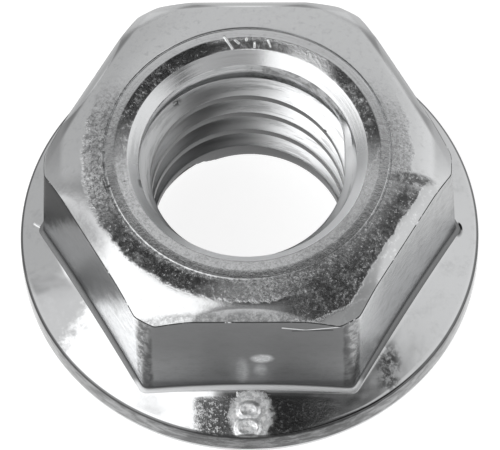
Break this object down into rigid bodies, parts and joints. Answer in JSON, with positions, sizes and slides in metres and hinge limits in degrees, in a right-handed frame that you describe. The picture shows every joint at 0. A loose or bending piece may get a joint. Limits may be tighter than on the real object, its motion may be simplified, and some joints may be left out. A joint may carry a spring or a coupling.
{
  "type": "serrated flange nut",
  "caption": "Hexagon nut with a wide flange whose bearing face has ratchet teeth, so it clamps without a washer and resists working loose.",
  "frame": {"origin": "centre of the bearing face, on the plane of the tooth lands and on the thread's axis", "axes": "+Z along the thread's axis from the flange to the crown; two flats of the hexagon face -Y and +Y"},
  "size_m": [0.0166, 0.0166, 0.0075],
  "materials": {
    "zinc_plated_steel": "bright zinc plate over forged and machined steel"
  },
  "bodies": {
    "root": {"flange_nut": "zinc_plated_steel"}
  },
  "joints": []
}
